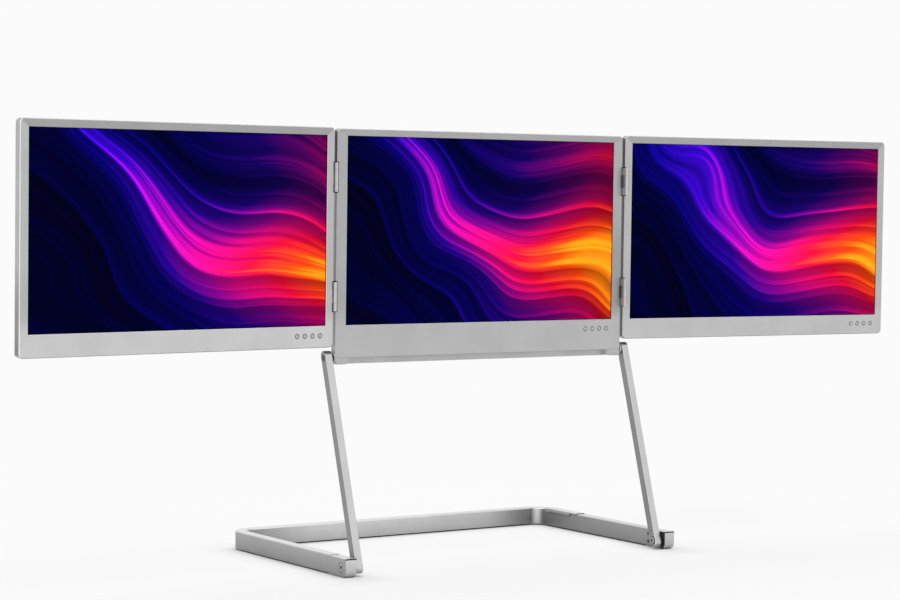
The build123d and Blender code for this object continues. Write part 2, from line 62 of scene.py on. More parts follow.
def addCamera(values):
    turn, down, roll = (radians(values[key]) for key in ("turnRight", "lookDown", "roll"))
    ahead = Vector((sin(turn) * cos(down), cos(turn) * cos(down), -sin(down)))
    side = Vector((cos(turn), -sin(turn), 0))
    above = side.cross(ahead)
    rolledSide = cos(roll) * side + sin(roll) * above
    rolledAbove = -sin(roll) * side + cos(roll) * above
    bpy.ops.object.camera_add()
    camera = bpy.context.object
    camera.name = "mainCamera"
    axes = Matrix((rolledSide, rolledAbove, -ahead)).transposed()
    camera.matrix_world = Matrix.Translation(values["place"]) @ axes.to_4x4()
    camera.data.sensor_fit = "HORIZONTAL"
    camera.data.sensor_width = values["sensor"]
    camera.data.lens = values["lens"]
    camera.data.clip_end = values["farthest"]
    scene.camera = camera


addCamera(cameraValues)

# Node helpers


def connect(tree, socket, value):
    if isinstance(value, bpy.types.NodeSocket):
        tree.links.new(value, socket)
    else:
        socket.default_value = value


def addNode(tree, kind, inputs=None, **settings):
    node = tree.nodes.new(kind)
    for key, value in settings.items():
        setattr(node, key, value)
    for key, value in (inputs or {}).items():
        connect(tree, node.inputs[key], value)
    return node


def mathNode(tree, operation, first, second=0.0, third=0.0, clamp=False):
    inputs = {0: first, 1: second, 2: third}
    return addNode(tree, "ShaderNodeMath", inputs, operation=operation, use_clamp=clamp).outputs[0]


def multiplied(tree, first, *others):
    for other in others:
        first = mathNode(tree, "MULTIPLY", first, other)
    return first


def minus(tree, first, second):
    return mathNode(tree, "SUBTRACT", first, second)


def larger(tree, first, second):
    return mathNode(tree, "MAXIMUM", first, second)


def absolute(tree, value):
    return mathNode(tree, "ABSOLUTE", value)


def isBelow(tree, value, limit):
    return mathNode(tree, "LESS_THAN", value, limit)


def isAbove(tree, value, limit):
    return mathNode(tree, "GREATER_THAN", value, limit)


def spread(tree, value, fromLow, fromHigh, toLow=0.0, toHigh=1.0, smooth=False):
    kind = "SMOOTHSTEP" if smooth else "LINEAR"
    inputs = {"Value": value, "From Min": fromLow, "From Max": fromHigh, "To Min": toLow, "To Max": toHigh}
    return addNode(tree, "ShaderNodeMapRange", inputs, interpolation_type=kind).outputs["Result"]


mixSockets = {"FLOAT": (2, 3, 0), "RGBA": (6, 7, 2)}  # first input, second input and output


def mixNode(tree, kind, factor, first, second):
    firstInput, secondInput, output = mixSockets[kind]
    inputs = {0: factor, firstInput: first, secondInput: second}
    return addNode(tree, "ShaderNodeMix", inputs, data_type=kind).outputs[output]


def whereMasked(tree, mask, tone):
    # The tone inside the mask, and 1 outside it.
    return mixNode(tree, "FLOAT", mask, 1.0, tone)


def splitVector(tree, vector):
    return addNode(tree, "ShaderNodeSeparateXYZ", {0: vector}).outputs


def noiseNode(tree, vector, values):
    return addNode(tree, "ShaderNodeTexNoise", {"Vector": vector, **values}).outputs["Fac"]


def colourRamp(tree, value, stops):
    node = addNode(tree, "ShaderNodeValToRGB", {"Fac": value})
    ramp = node.color_ramp
    while len(ramp.elements) < len(stops):
        ramp.elements.new(0.5)
    for element, (place, colour) in zip(ramp.elements, stops):
        element.position = place
        element.color = (*colour, 1)
    return node.outputs["Color"]


def grey(level):
    return (level, level, level, 1)


def newGroup(name, inputs, outputs):
    tree = bpy.data.node_groups.new(name, "ShaderNodeTree")
    for way, sockets in (("INPUT", inputs), ("OUTPUT", outputs)):
        for label, kind in sockets.items():
            tree.interface.new_socket(label, in_out=way, socket_type=kind)
    entry = tree.nodes.new("NodeGroupInput").outputs
    leave = tree.nodes.new("NodeGroupOutput").inputs
    return tree, entry, leave


def placeGroup(tree, group, inputs):
    return addNode(tree, "ShaderNodeGroup", inputs, node_tree=group).outputs


def newMaterial(name):
    material = bpy.data.materials.new(name)
    material.use_nodes = True
    tree = material.node_tree
    return material, tree, tree.nodes["Principled BSDF"]


def objectCoordinates(tree, place=(0, 0, 0), turn=(0, 0, 0)):
    source = tree.nodes.new("ShaderNodeTexCoord").outputs["Object"]
    inputs = {"Vector": source, "Location": place, "Rotation": turn}
    return addNode(tree, "ShaderNodeMapping", inputs).outputs["Vector"]


def surfaceNormal(tree):
    return tree.nodes.new("ShaderNodeTexCoord").outputs["Normal"]


# Where each screen stands. The wings are turned about their hinges, and "straight" is how they
# would stand without that turn.

jointPlaces = {joint["name"]: Vector(joint["pos_m"]) for joint in frame["joints"] if "pos_m" in joint}
screenValues = {
    "picture": (0.3442, 0.1936),
    "pictureBottom": 0.250562,
    "front": -0.054998,
    "back": -0.046498,
    "hingeHeights": {"Upper Hinge": 0.402162, "Lower Hinge": 0.279662},
    "center": {
        "joint": None, "turn": 0.0, "middle": 0.0,
        "sideBorder": 0.013, "bottom": 0.216562, "top": 0.452162,
    },
    "left": {
        "joint": "left_wing_swing", "turn": 5.0, "middle": -0.3702,
        "sideBorder": 0.010, "bottom": 0.227562, "top": 0.452962,
    },
    "right": {
        "joint": "right_wing_swing", "turn": -5.0, "middle": 0.3702,
        "sideBorder": 0.010, "bottom": 0.227562, "top": 0.452962,
    },
}
screenNames = ("center", "left", "right")
pictureWidth, pictureHeight = screenValues["picture"]
pictureMiddle = screenValues["pictureBottom"] + pictureHeight / 2
pictureTop = screenValues["pictureBottom"] + pictureHeight


def straightToPlace(name):
    values = screenValues[name]
    if values["joint"] is None:
        return Matrix.Identity(4)
    hinge = Matrix.Translation(jointPlaces[values["joint"]])
    return hinge @ Matrix.Rotation(radians(values["turn"]), 4, "Z") @ hinge.inverted()


def straightCoordinates(tree, name):
    # Object coordinates turned back to the straight screen, measured from the middle of its picture.
    back = straightToPlace(name).inverted()
    middle = Vector((screenValues[name]["middle"], screenValues["front"], pictureMiddle))
    return objectCoordinates(tree, back.translation - middle, back.to_euler())


# Floor, backdrop and lights

studioValues = {
    "white": 0.965,  # the backdrop as seen, linear
    "roomLight": 0.52,  # plain light from all round
    "floorSize": 30.0,
    "floorColour": 0.93,
    "floorRough": 0.9,
    "floorShown": 0.28,  # how much of the floor round the stand shows its own light and shadow
    "fadeNear": 0.4,  # metres from the middle, where the floor starts to merge with the backdrop
    "fadeFar": 1.0,
    "underBars": (0.2052, 0.1166, -0.125),  # the base's side bars, rear bar and front ends
    "contactNear": 0.006,  # metres from the bars, up to which all of the floor's shadow shows
    "contactFar": 0.05,
}


def seenRays(tree):
    path = tree.nodes.new("ShaderNodeLightPath").outputs
    seen = larger(tree, path["Is Camera Ray"], path["Is Glossy Ray"])
    return larger(tree, seen, path["Is Transmission Ray"])


def buildWorld(values):
    world = bpy.data.worlds.new("whiteRoom")
    world.use_nodes = True
    scene.world = world
    tree = world.node_tree
    level = mixNode(tree, "RGBA", seenRays(tree), grey(values["roomLight"]), grey(values["white"]))
    background = tree.nodes["Background"]
    connect(tree, background.inputs["Color"], level)
    background.inputs["Strength"].default_value = 1


def distanceFromBars(tree, parts, values):
    sideBars, rearBar, ends = values["underBars"]
    fromSides = minus(tree, absolute(tree, parts[0]), sideBars)
    fromLines = larger(tree, fromSides, minus(tree, parts[1], rearBar))
    return larger(tree, absolute(tree, fromLines), minus(tree, ends, parts[1]))


def buildFloor(values):
    bpy.ops.mesh.primitive_plane_add(size=values["floorSize"])
    floor = bpy.context.object
    floor.name = "studioFloor"
    material, tree, shader = newMaterial("floorPaint")
    shader.inputs["Base Color"].default_value = grey(values["floorColour"])
    shader.inputs["Roughness"].default_value = values["floorRough"]
    shader.inputs["Specular IOR Level"].default_value = 0
    place = objectCoordinates(tree)
    fromBars = distanceFromBars(tree, splitVector(tree, place), values)
    plain = 1 - values["floorShown"]
    beside = spread(tree, fromBars, values["contactNear"], values["contactFar"], 0, plain, smooth=True)
    distance = addNode(tree, "ShaderNodeVectorMath", {0: place}, operation="LENGTH").outputs["Value"]
    far = spread(tree, distance, values["fadeNear"], values["fadeFar"], smooth=True)
    factor = multiplied(tree, seenRays(tree), larger(tree, beside, far))
    glow = addNode(tree, "ShaderNodeEmission", {"Color": grey(values["white"])}).outputs[0]
    mixed = addNode(tree, "ShaderNodeMixShader", {0: factor, 1: shader.outputs[0], 2: glow}).outputs[0]
    connect(tree, tree.nodes["Material Output"].inputs["Surface"], mixed)
    floor.data.materials.append(material)


lampValues = {
    "topSoftbox": {"place": (0.1, 0.1, 2.6), "target": (0, 0, 0), "size": (3.6, 3.2), "watts": 57},
    "frontSoftbox": {"place": (1.0, -2.4, 1.0), "target": (0, 0, 0.3), "size": (1.8, 1.6), "watts": 3},
}


def addSoftbox(name, values):
    bpy.ops.object.light_add(type="AREA", location=values["place"])
    lamp = bpy.context.object
    lamp.name = name
    aim = Vector(values["target"]) - Vector(values["place"])
    lamp.rotation_euler = aim.to_track_quat("-Z", "Y").to_euler()
    lamp.data.shape = "RECTANGLE"
    lamp.data.size, lamp.data.size_y = values["size"]
    lamp.data.energy = values["watts"]


buildWorld(studioValues)
buildFloor(studioValues)
for lampName, lampSetting in lampValues.items():
    addSoftbox(lampName, lampSetting)
print("camera, floor and lights placed")

# Grain of the metals and plastics

noiseRange = (0.3, 0.7)  # where most of a noise's values lie
toneRange = (-0.5, 0.5)  # the grain's tone at full swing
grainValues = {
    "brushedLines": {  # long scratches along X of the vector that comes in, with cloudy patches over them
        "stretch": (14, 1500, 1500),
        "fine": {"Scale": 1, "Detail": 3, "Roughness": 0.65},
        "patch": {"Scale": 38, "Detail": 3},
        "fineTone": 0.5,
        "patchTone": 0.6,
    },
    "satinGrain": {  # fine blasted grain, with faint wide patches
        "stretch": (1, 1, 1),
        "fine": {"Scale": 900, "Detail": 2},
        "patch": {"Scale": 22, "Detail": 4},
        "fineTone": 0.3,
        "patchTone": 0.6,
    },
}


def buildGrainGroup(name):
    values = grainValues[name]
    inputs = {"Vector": "NodeSocketVector", "Depth": "NodeSocketFloat"}
    outputs = {"Tone": "NodeSocketFloat", "Height": "NodeSocketFloat"}
    tree, entry, leave = newGroup(name, inputs, outputs)
    stretched = {"Vector": entry["Vector"], "Scale": values["stretch"]}
    fineAt = addNode(tree, "ShaderNodeMapping", stretched).outputs["Vector"]
    fine = noiseNode(tree, fineAt, values["fine"])
    patch = noiseNode(tree, entry["Vector"], values["patch"])
    fineTone = spread(tree, fine, *noiseRange, -values["fineTone"], values["fineTone"])
    patchTone = spread(tree, patch, *noiseRange, -values["patchTone"], values["patchTone"])
    both = mathNode(tree, "ADD", fineTone, patchTone)
    connect(tree, leave["Tone"], multiplied(tree, both, entry["Depth"]))
    connect(tree, leave["Height"], fine)
    return tree


brushedLines = buildGrainGroup("brushedLines")
satinGrain = buildGrainGroup("satinGrain")

# Masks on a bezel, measured from the middle of the picture, for its seams and its painted light and shade

mostlyFacing = 0.9  # part of a normal along an axis, past which a face looks that way
bezelJointValues = {
    "corner": 1.1,  # how far the strip and the seams reach into a corner, in borders
    "stripEdge": 0.01,  # half its soft edge
    "seam": (0.01, 0.035),  # from its middle, where a seam starts to fade and where it ends
    "foot": (-0.101, -0.08),  # the heights over which the foot gives way to the sides
    "notchDepth": 0.00205,  # from the case's side
    "notchHalf": 0.0161,  # above and below the hinge's middle
    "lip": 0.0005,  # behind the case's front, where a notch's inside starts
    "bevel": (0.3, 0.92),  # part of the normal along the depth, on a bevel
    "bevelTurn": -0.3,  # part of it to the right, or upwards, below which the bevel faces left or down
}
jointLabels = (
    "Half Width", "Top", "Side Border", "Top Border",
    "Upper Hinge", "Lower Hinge", "Left Hinged", "Right Hinged",
)
maskLabels = (
    "Strip", "Side", "Foot", "Seam",
    "Notch", "Upper Gap", "Lower Gap", "Left Bevel", "Foot Bevel",
)


def mitreMasks(tree, entry, parts, fromSide, values):
    # The strip above the mitred corners, the sides, the broad foot below the picture, and the seams.
    sideShare = mathNode(tree, "DIVIDE", fromSide, entry["Side Border"])
    topShare = mathNode(tree, "DIVIDE", minus(tree, entry["Top"], parts[2]), entry["Top Border"])
    apart = minus(tree, sideShare, topShare)
    atTop = isBelow(tree, topShare, values["corner"])
    atSide = isBelow(tree, sideShare, values["corner"])
    strip = multiplied(tree, spread(tree, apart, -values["stripEdge"], values["stripEdge"]), atTop)
    foot = spread(tree, parts[2], *values["foot"], 1, 0, smooth=True)
    side = mathNode(tree, "SUBTRACT", minus(tree, 1.0, strip), foot, clamp=True)
    seam = spread(tree, absolute(tree, apart), *values["seam"], 1, 0)
    return {"Strip": strip, "Side": side, "Foot": foot, "Seam": multiplied(tree, seam, atTop, atSide)}


def gapMasks(tree, entry, parts, faces, fromSide, values):
    # Masks for painted shade: in the insides of the hinge notches, and on the walls of the gaps beside the
    # hinges.
    atRight = isAbove(tree, parts[0], 0.0)
    shade = mixNode(tree, "FLOAT", atRight, entry["Left Hinged"], entry["Right Hinged"])
    hinged = isAbove(tree, shade, 0.0)
    nearUpper, nearLower = (
        isBelow(tree, absolute(tree, minus(tree, parts[2], entry[name])), values["notchHalf"])
        for name in ("Upper Hinge", "Lower Hinge")
    )
    near = multiplied(tree, larger(tree, nearUpper, nearLower), hinged)
    atEdge = isBelow(tree, fromSide, values["notchDepth"])
    inside = isAbove(tree, parts[1], values["lip"])
    wall = multiplied(tree, isAbove(tree, absolute(tree, faces[0]), mostlyFacing), hinged)
    upper = isAbove(tree, parts[2], entry["Upper Hinge"])
    return {
        "Notch": multiplied(tree, atEdge, inside, near),
        "Upper Gap": multiplied(tree, wall, upper),
        "Lower Gap": multiplied(tree, wall, minus(tree, 1.0, upper), shade),
    }


def bevelMasks(tree, faces, values):
    # The bevels that face left and down, which get a painted highlight and painted shade.
    least, most = values["bevel"]
    along = absolute(tree, faces[1])
    bevel = multiplied(tree, isBelow(tree, along, most), isAbove(tree, along, least))
    return {
        "Left Bevel": multiplied(tree, bevel, isBelow(tree, faces[0], values["bevelTurn"])),
        "Foot Bevel": multiplied(tree, bevel, isBelow(tree, faces[2], values["bevelTurn"])),
    }


def buildJointGroup(values):
    inputs = {"Vector": "NodeSocketVector", "Normal": "NodeSocketVector"}
    inputs |= dict.fromkeys(jointLabels, "NodeSocketFloat")
    tree, entry, leave = newGroup("bezelJoints", inputs, dict.fromkeys(maskLabels, "NodeSocketFloat"))
    parts = splitVector(tree, entry["Vector"])
    faces = splitVector(tree, entry["Normal"])
    fromSide = minus(tree, entry["Half Width"], absolute(tree, parts[0]))
    masks = mitreMasks(tree, entry, parts, fromSide, values)
    masks |= gapMasks(tree, entry, parts, faces, fromSide, values)
    masks |= bevelMasks(tree, faces, values)
    for label, mask in masks.items():
        connect(tree, leave[label], mask)
    return tree


bezelJoints = buildJointGroup(bezelJointValues)

# Folds of coloured light that sweep over the pictures, in picture widths from the middle

flowValues = {
    "sway": {"Scale": 1.7, "Detail": 1},
    "wave": {"pitch": 5.6, "sway": 3.2, "height": 0.11},
    "slant": 0.5,
    "swayHeight": 0.45,
    "folds": (
        {"pitch": 3.3, "shift": 0.2, "sharp": 2.6, "strength": 0.62},
        {"pitch": 8.3, "shift": 0.55, "sharp": 3.4, "strength": 0.42},
        {"pitch": 19.0, "shift": 0.1, "sharp": 3.4, "strength": 0.3},
    ),
    "foldEdge": 0.05,
    "threads": {"pitch": 75, "noise": {"Scale": 1, "Detail": 3}, "tones": (0.45, 1.55)},
    "band": {"middle": 0.27, "width": 0.24},  # the brightest part of the flow
    "warmth": {"across": 0.8, "band": 0.36, "folds": 0.14},
    "level": {"plain": 0.13, "band": 0.32, "folds": 0.4, "bandFolds": 1.6},
    "colours": (
        (0.0, (0.0003, 0.0003, 0.09)),
        (0.3, (0.003, 0.0006, 0.24)),
        (0.46, (0.03, 0.001, 0.4)),
        (0.58, (0.3, 0.002, 0.36)),
        (0.68, (0.8, 0.003, 0.22)),
        (0.8, (1.0, 0.005, 0.04)),
        (0.92, (1.0, 0.06, 0.004)),
        (1.0, (1.0, 0.22, 0.006)),
    ),
}


def multiplyAdd(tree, first, second, third):
    return mathNode(tree, "MULTIPLY_ADD", first, second, third)


def flowHeight(tree, entry, across, up, values):
    # How far up the flow a spot lies, with the wave, the slant and the sway taken in.
    lift = addNode(tree, "ShaderNodeCombineXYZ", {2: entry["Drift"]}).outputs[0]
    start = addNode(tree, "ShaderNodeVectorMath", {0: entry["Vector"], 1: lift}, operation="ADD").outputs[0]
    sway = noiseNode(tree, start, values["sway"])
    wave = values["wave"]
    phase = multiplyAdd(tree, across, wave["pitch"], multiplied(tree, sway, wave["sway"]))
    flow = multiplyAdd(tree, mathNode(tree, "SINE", phase), wave["height"], up)
    flow = multiplyAdd(tree, across, values["slant"], flow)
    return multiplyAdd(tree, sway, values["swayHeight"], flow)


def lightFold(tree, flow, edge, values):
    # Sharp at its lower edge, and fading upwards.
    saw = mathNode(tree, "FRACT", multiplyAdd(tree, flow, values["pitch"], values["shift"]))
    fall = mathNode(tree, "POWER", minus(tree, 1.0, saw), values["sharp"])
    return multiplied(tree, fall, spread(tree, saw, 0.0, edge), values["strength"])


def fineThreads(tree, flow, across, drift, values):
    spot = {0: across, 1: multiplied(tree, flow, values["pitch"]), 2: drift}
    spot = addNode(tree, "ShaderNodeCombineXYZ", spot).outputs[0]
    return spread(tree, noiseNode(tree, spot, values["noise"]), *noiseRange, *values["tones"])


def buildPictureGroup(values):
    inputs = {"Vector": "NodeSocketVector", "Drift": "NodeSocketFloat", "Warmth": "NodeSocketFloat"}
    tree, entry, leave = newGroup("flowingLight", inputs, {"Color": "NodeSocketColor"})
    parts = splitVector(tree, entry["Vector"])
    flow = flowHeight(tree, entry, parts[0], parts[1], values)
    wide, middle, narrow = (lightFold(tree, flow, values["foldEdge"], fold) for fold in values["folds"])
    folds = mathNode(tree, "ADD", mathNode(tree, "ADD", wide, middle), narrow)
    folds = multiplied(tree, folds, fineThreads(tree, flow, parts[0], entry["Drift"], values["threads"]))
    away = absolute(tree, minus(tree, flow, values["band"]["middle"]))
    band = spread(tree, away, 0.0, values["band"]["width"], 1.0, 0.0, smooth=True)
    warmth = values["warmth"]
    warm = multiplyAdd(tree, parts[0], warmth["across"], entry["Warmth"])
    warm = multiplyAdd(tree, band, warmth["band"], warm)
    warm = multiplyAdd(tree, folds, warmth["folds"], warm)
    shares = values["level"]
    level = multiplyAdd(tree, band, shares["band"], shares["plain"])
    level = multiplyAdd(tree, folds, multiplyAdd(tree, band, shares["bandFolds"], shares["folds"]), level)
    scaling = {0: colourRamp(tree, warm, values["colours"]), "Scale": level}
    scaled = addNode(tree, "ShaderNodeVectorMath", scaling, operation="SCALE").outputs[0]
    connect(tree, leave["Color"], scaled)
    return tree


flowingLight = buildPictureGroup(flowValues)

# Metals

metalValues = {
    # name: linear colour, roughness, metallic, tone depth, bump in metres
    "bar": {"colour": 0.64, "rough": 0.36, "metallic": 0.7, "depth": 0.055, "bump": 0.000007},
    "case": {"colour": 0.5, "rough": 0.42, "metallic": 0.6, "depth": 0.08, "bump": 0.000006},
    "cover": {"colour": 0.44, "rough": 0.46, "metallic": 0.6, "depth": 0.045, "bump": 0.000006},
    "hinge": {"colour": 0.58, "rough": 0.36, "metallic": 0.8, "depth": 0.1, "bump": 0.000004},
    "pin": {"colour": 0.4, "rough": 0.3, "metallic": 0.9, "depth": 0.12, "bump": 0.000004},
    "darkPin": {"colour": 0.1, "rough": 0.35, "metallic": 0.8, "depth": 0.12, "bump": 0.000004},
    "socket": {"colour": 0.5, "rough": 0.32, "metallic": 1.0, "depth": 0.08, "bump": 0.000003},
    "button": {"colour": 0.5, "rough": 0.36, "metallic": 0.7, "depth": 0.08, "bump": 0.000004},
    "buttonRim": {"colour": 0.09, "rough": 0.45, "metallic": 0.5, "depth": 0.08, "bump": 0.000004},
    "contact": {"colour": 0.6, "rough": 0.3, "metallic": 1.0, "depth": 0.08, "bump": 0.000003},
}
metalSwing = {"level": 0.5, "rough": 0.2}  # what a full tone of the grain adds or takes away


def placeGrain(tree, group, vector, depth):
    effect = placeGroup(tree, group, {"Vector": vector, "Depth": depth})
    return effect["Tone"], effect["Height"]


def addBump(tree, shader, height, distance):
    bump = addNode(tree, "ShaderNodeBump", {"Height": height, "Distance": distance}).outputs["Normal"]
    connect(tree, shader.inputs["Normal"], bump)


def finishMetal(tree, shader, values, tone, height, level):
    colour = addNode(tree, "ShaderNodeCombineColor", {0: level, 1: level, 2: level}).outputs[0]
    connect(tree, shader.inputs["Base Color"], colour)
    swing = metalSwing["rough"]
    rough = spread(tree, tone, *toneRange, values["rough"] + swing, values["rough"] - swing)
    connect(tree, shader.inputs["Roughness"], rough)
    shader.inputs["Metallic"].default_value = values["metallic"]
    addBump(tree, shader, height, values["bump"])


def toneLevel(tree, tone, colour):
    swing = metalSwing["level"]
    return spread(tree, tone, *toneRange, colour * (1 - swing), colour * (1 + swing))


def satinMetal(name, kind):
    values = metalValues[kind]
    material, tree, shader = newMaterial(name)
    tone, height = placeGrain(tree, satinGrain, objectCoordinates(tree), values["depth"])
    finishMetal(tree, shader, values, tone, height, toneLevel(tree, tone, values["colour"]))
    return material


# Painted light and shade on the brushed bars, catch strips and arms

bendValues = {"split": 0.105, "soft": 0.006}  # where the side bars' brushing gives way to the rear bar's
barLightAndShade = {
    # settings of painted light and shade; turned: how bright a face is painted by the way it turns, from
    # facing left (0) to facing right (1)
    "turned": (
        (0.0, 0.57), (0.025, 0.4), (0.06, 0.5), (0.11, 1.0), (0.2, 1.2),
        (0.33, 1.1), (0.42, 0.62), (0.5, 1.0), (1.0, 0.75),
    ),
    "across": (-0.21, 0.21, 1.08, 0.96),  # from the left end to the right end, and the tone at each
    "slopes": (0.3, 0.93),  # upward part of the normal: below these a face is upright, or a bevel
    "low": (0.001, 0.019, 0.72, 1.02),  # painted shade on upright faces, darker towards their foot
    "rearLeft": (-0.2, -0.09, 0.5, 1.0),  # painted shade on the rear bar towards its left end; the next line, towards its right end
    "rearRight": (0.12, 0.178, 1.0, 0.6),
    "rearFacing": (-0.98, -0.8),  # the painted shade of the rear bar's ends fades out round the corner
    "bevel": 0.75,
    "ring": 0.12,
    "blockRing": 0.0052,  # radius of the painted shade in the groove round a block's cap
    "gap": (-0.1145, 0.22),  # painted shade on a block's inner face beside the arm's foot, in front of this, and its tone
}
# Painted shade on the catch strips' flange, front ends, bevels and lower edge, and a dark line on the
# flange
catchTones = {
    "face": 0.95,  # painted shade on the flange inside the bar
    "upright": 0.3,  # upward part of the normal, below which a face is upright
    "end": 0.15,  # painted shade on the plates' front ends
    "endFacing": -0.7,
    "bevel": 0.4,
    "square": 0.95,  # largest part of a normal, below which a face is a bevel
    "edge": (0.0168, 0.0172, 0.35, 1.0),  # painted shade along the flange's lower edge, by height
    "mark": {"height": 0.0178, "width": 0.0012, "rearEnd": 0.09, "tone": 0.62},  # a dark line on the flange
}
# Painted light and shade on the arms
armTones = {
    "level": 0.92,
    "turned": ((0.0, 0.48), (0.1, 0.55), (0.14, 1.2), (0.3, 1.1), (0.4, 1.0), (1.0, 0.75)),
    "headTop": (0.31, 0.5, 1.0, 0.14),  # painted shade on an arm's round ends, on top and underneath, by the upward part of the normal
    "headFoot": (-0.1, -0.3, 1.0, 0.7),
    "ring": 0.1,
    "headRing": 0.0033,  # radius of the painted shade in the groove round the pin
    "footRing": 0.0046,
}


def placeAndFacing(tree):
    source = tree.nodes.new("ShaderNodeTexCoord").outputs
    return splitVector(tree, source["Object"]), splitVector(tree, source["Normal"])


def paintedFacingLight(tree, facesAcross, stops):
    greys = [(spot, (bright, bright, bright)) for spot, bright in stops]
    return colourRamp(tree, spread(tree, facesAcross, -1, 1), greys)


# Painted shade inside a given radius round a pivot, for the groove round its pin or cap.
def paintedRingShade(tree, place, jointName, radius, tone):
    pivot = jointPlaces[jointName]
    aside = minus(tree, place[1], pivot.y)
    above = minus(tree, place[2], pivot.z)
    squared = multiplyAdd(tree, aside, aside, multiplied(tree, above, above))
    return whereMasked(tree, isBelow(tree, squared, radius**2), tone)


# Painted shade on the rear bar towards both its ends.
def rearBarPaintedShade(tree, place, faces):
    leftEnd = spread(tree, place[0], *barLightAndShade["rearLeft"], smooth=True)
    rightEnd = spread(tree, place[0], *barLightAndShade["rearRight"], smooth=True)
    atRear = isAbove(tree, place[1], bendValues["split"])
    forward = spread(tree, faces[1], *barLightAndShade["rearFacing"], 1.0, 0.0, smooth=True)
    return whereMasked(tree, multiplied(tree, atRear, forward), multiplied(tree, leftEnd, rightEnd))


# Painted shade on a block's inner face, in the gap beside the arm's foot.
def blockGapPaintedShade(tree, place, faces):
    depth, tone = barLightAndShade["gap"]
    outward = isAbove(tree, multiplied(tree, faces[0], mathNode(tree, "SIGN", place[0])), 0.0)
    inFront = isBelow(tree, place[1], depth)
    sideways = isAbove(tree, absolute(tree, faces[0]), mostlyFacing)
    return whereMasked(tree, multiplied(tree, minus(tree, 1.0, outward), inFront, sideways), tone)


# The bars' colour, with painted light and shade by facing and height, on bevels, rear bar ends, grooves and
# the blocks' gaps.
def barLevel(tree, tone, colour):
    place, faces = placeAndFacing(tree)
    slope = absolute(tree, faces[2])
    upright, flat = barLightAndShade["slopes"]
    sloping = multiplied(tree, isAbove(tree, slope, upright), isBelow(tree, slope, flat))
    low = spread(tree, place[2], *barLightAndShade["low"])
    return multiplied(
        tree,
        toneLevel(tree, tone, colour),
        paintedFacingLight(tree, faces[0], barLightAndShade["turned"]),
        spread(tree, place[0], *barLightAndShade["across"]),
        whereMasked(tree, isBelow(tree, slope, upright), low),
        whereMasked(tree, sloping, barLightAndShade["bevel"]),
        rearBarPaintedShade(tree, place, faces),
        paintedRingShade(tree, place, "arms_fold", barLightAndShade["blockRing"], barLightAndShade["ring"]),
        blockGapPaintedShade(tree, place, faces),
    )


# Painted shade on the flange and along its lower edge, with the dark line on it.
def catchFace(tree, place):
    mark = catchTones["mark"]
    fromMark = absolute(tree, minus(tree, place[2], mark["height"]))
    marked = multiplied(
        tree, isBelow(tree, fromMark, mark["width"] / 2), isBelow(tree, place[1], mark["rearEnd"]),
    )
    edge = spread(tree, place[2], *catchTones["edge"])
    return multiplied(tree, edge, catchTones["face"], whereMasked(tree, marked, mark["tone"]))


# The catch strips' colour, with painted shade on their flange, front ends and bevels.
def catchLevel(tree, tone, colour):
    place, faces = placeAndFacing(tree)
    slope = absolute(tree, faces[2])
    most = larger(tree, slope, larger(tree, absolute(tree, faces[0]), absolute(tree, faces[1])))
    return multiplied(
        tree,
        toneLevel(tree, tone, colour),
        whereMasked(tree, isBelow(tree, slope, catchTones["upright"]), catchFace(tree, place)),
        whereMasked(tree, isBelow(tree, faces[1], catchTones["endFacing"]), catchTones["end"]),
        whereMasked(tree, isBelow(tree, most, catchTones["square"]), catchTones["bevel"]),
    )


# The arms' colour, with painted light and shade by facing, on their round ends and round their pins.
def armLevel(tree, tone, colour):
    place, faces = placeAndFacing(tree)
    return multiplied(
        tree,
        toneLevel(tree, tone, colour * armTones["level"]),
        paintedFacingLight(tree, faces[0], armTones["turned"]),
        spread(tree, faces[2], *armTones["headTop"]),
        spread(tree, faces[2], *armTones["headFoot"]),
        paintedRingShade(tree, place, "screen_tilt", armTones["headRing"], armTones["ring"]),
        paintedRingShade(tree, place, "arms_fold", armTones["footRing"], armTones["ring"]),
    )


def brushedMetal(name, turn, makeLevel):
    values = metalValues["bar"]
    material, tree, shader = newMaterial(name)
    tone, height = placeGrain(tree, brushedLines, objectCoordinates(tree, turn=turn), values["depth"])
    finishMetal(tree, shader, values, tone, height, makeLevel(tree, tone, values["colour"]))
    return material


brushAngles = {
    "base": (0, 0, radians(-90)),  # along the side bars
    "arm": (radians(-17), radians(90), 0),  # along the leaning arms
}


def bentBarMetal(name):
    # Brushed along the side bars and along the rear bar.
    values = metalValues["bar"]
    material, tree, shader = newMaterial(name)
    place = objectCoordinates(tree)
    sideways = objectCoordinates(tree, turn=brushAngles["base"])
    sideTone, sideHeight = placeGrain(tree, brushedLines, sideways, values["depth"])
    rearTone, rearHeight = placeGrain(tree, brushedLines, place, values["depth"])
    low, high = bendValues["split"] - bendValues["soft"], bendValues["split"] + bendValues["soft"]
    atRear = spread(tree, splitVector(tree, place)[1], low, high, smooth=True)
    tone = mixNode(tree, "FLOAT", atRear, sideTone, rearTone)
    height = mixNode(tree, "FLOAT", atRear, sideHeight, rearHeight)
    finishMetal(tree, shader, values, tone, height, barLevel(tree, tone, values["colour"]))
    return material


# Cases

